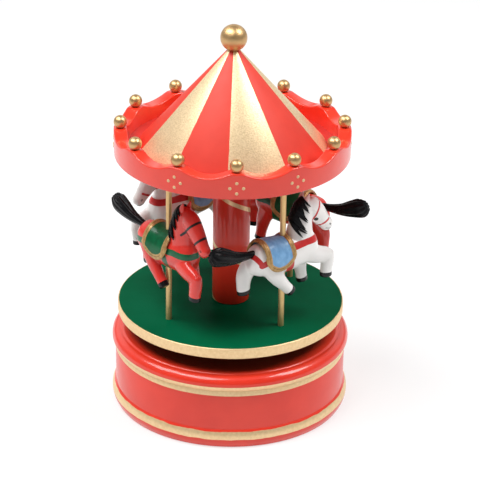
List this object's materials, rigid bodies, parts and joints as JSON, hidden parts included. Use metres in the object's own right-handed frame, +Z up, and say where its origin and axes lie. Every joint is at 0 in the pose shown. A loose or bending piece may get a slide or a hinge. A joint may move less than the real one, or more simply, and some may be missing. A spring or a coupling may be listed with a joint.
{
  "type": "carousel music box",
  "caption": "Wind-up carousel music box: horses on gold poles under a striped cone roof turn on a round red base that holds a spring movement.",
  "frame": {"origin": "centre of the flat underside of the base, on the carousel's axis", "axes": "+Z up along the carousel's axis, front towards -Y"},
  "size_m": [0.1081, 0.1008, 0.167],
  "materials": {
    "red_enamel_wood": "glossy red enamel on turned wood",
    "gold_painted_wood": "gold bronze paint on wood",
    "striped_wood": "red and gold painted segments on turned wood",
    "green_enamel_wood": "green enamel on a round board with a gold edge",
    "bare_plywood": "bare plywood",
    "white_enamel_wood": "white enamel on carved wood",
    "red_horse_enamel": "red enamel on carved wood",
    "black_enamel_wood": "gloss black paint on carved wood",
    "blue_saddle_paint": "blue paint with a gold border",
    "green_saddle_paint": "green paint with a gold border",
    "brass_rod": "drawn brass rod",
    "brass": "turned and cut brass",
    "spring_steel": "hardened spring steel",
    "bright_steel": "bright turned steel",
    "zinc_casting": "zinc die casting",
    "plastic": "moulded plastic"
  },
  "bodies": {
    "base": {"base_shell": "red_enamel_wood", "bottom_board": "bare_plywood", "bottom_screws": "bright_steel", "bedplate": "zinc_casting", "bedplate_screws": "bright_steel", "spring_housing": "bright_steel", "mainspring": "spring_steel", "bearing_bush": "brass", "thrust_washer": "plastic", "inner_bracket": "brass", "outer_bracket": "brass", "comb": "spring_steel", "comb_screws": "bright_steel", "governor_frame": "brass", "governor_screws": "bright_steel"},
    "carousel": {"spindle": "bright_steel", "drive_wheel": "brass", "platform_hub": "zinc_casting", "hub_screws": "bright_steel", "platform": "green_enamel_wood", "column": "red_enamel_wood", "roof_disc": "red_enamel_wood", "crown_ring": "red_enamel_wood", "rim_balls": "gold_painted_wood", "cone": "striped_wood", "finial": "gold_painted_wood", "horse_1": "red_horse_enamel", "saddle_1": "green_saddle_paint", "mane_1": "black_enamel_wood", "tail_1": "black_enamel_wood", "pole_1": "brass_rod", "horse_2": "white_enamel_wood", "saddle_2": "blue_saddle_paint", "mane_2": "black_enamel_wood", "tail_2": "black_enamel_wood", "pole_2": "brass_rod", "horse_3": "red_horse_enamel", "saddle_3": "green_saddle_paint", "mane_3": "black_enamel_wood", "tail_3": "black_enamel_wood", "pole_3": "brass_rod", "horse_4": "white_enamel_wood", "saddle_4": "blue_saddle_paint", "mane_4": "black_enamel_wood", "tail_4": "black_enamel_wood", "pole_4": "brass_rod"},
    "cylinder": {"cylinder_shaft": "bright_steel", "cylinder_pinion": "brass", "cylinder_gear": "brass", "pin_cylinder": "brass"},
    "governor": {"governor_pinion": "bright_steel", "governor_wheel": "brass"},
    "fly": {"fly_pinion": "bright_steel", "fly": "plastic"}
  },
  "joints": [
    {"name": "carousel_spin", "type": "hinge", "parent": "base", "child": "carousel", "pos_m": [0, 0, 0.033], "axis": [0, 0, 1], "continuous": true},
    {"name": "cylinder_spin", "type": "hinge", "parent": "base", "child": "cylinder", "pos_m": [0.0176, 0, 0.01337], "axis": [1, 0, 0], "continuous": true},
    {"name": "governor_spin", "type": "hinge", "parent": "base", "child": "governor", "pos_m": [0.0176, 0.01128, 0.01748], "axis": [1, 0, 0], "continuous": true},
    {"name": "fly_spin", "type": "hinge", "parent": "base", "child": "fly", "pos_m": [0.0176, 0.01597, 0.01354], "axis": [1, 0, 0], "continuous": true}
  ],
  "couplings": [
    {"joint": "cylinder_spin", "follows": "carousel_spin", "ratio": 4},
    {"joint": "governor_spin", "follows": "carousel_spin", "ratio": -12},
    {"joint": "fly_spin", "follows": "carousel_spin", "ratio": 30}
  ]
}
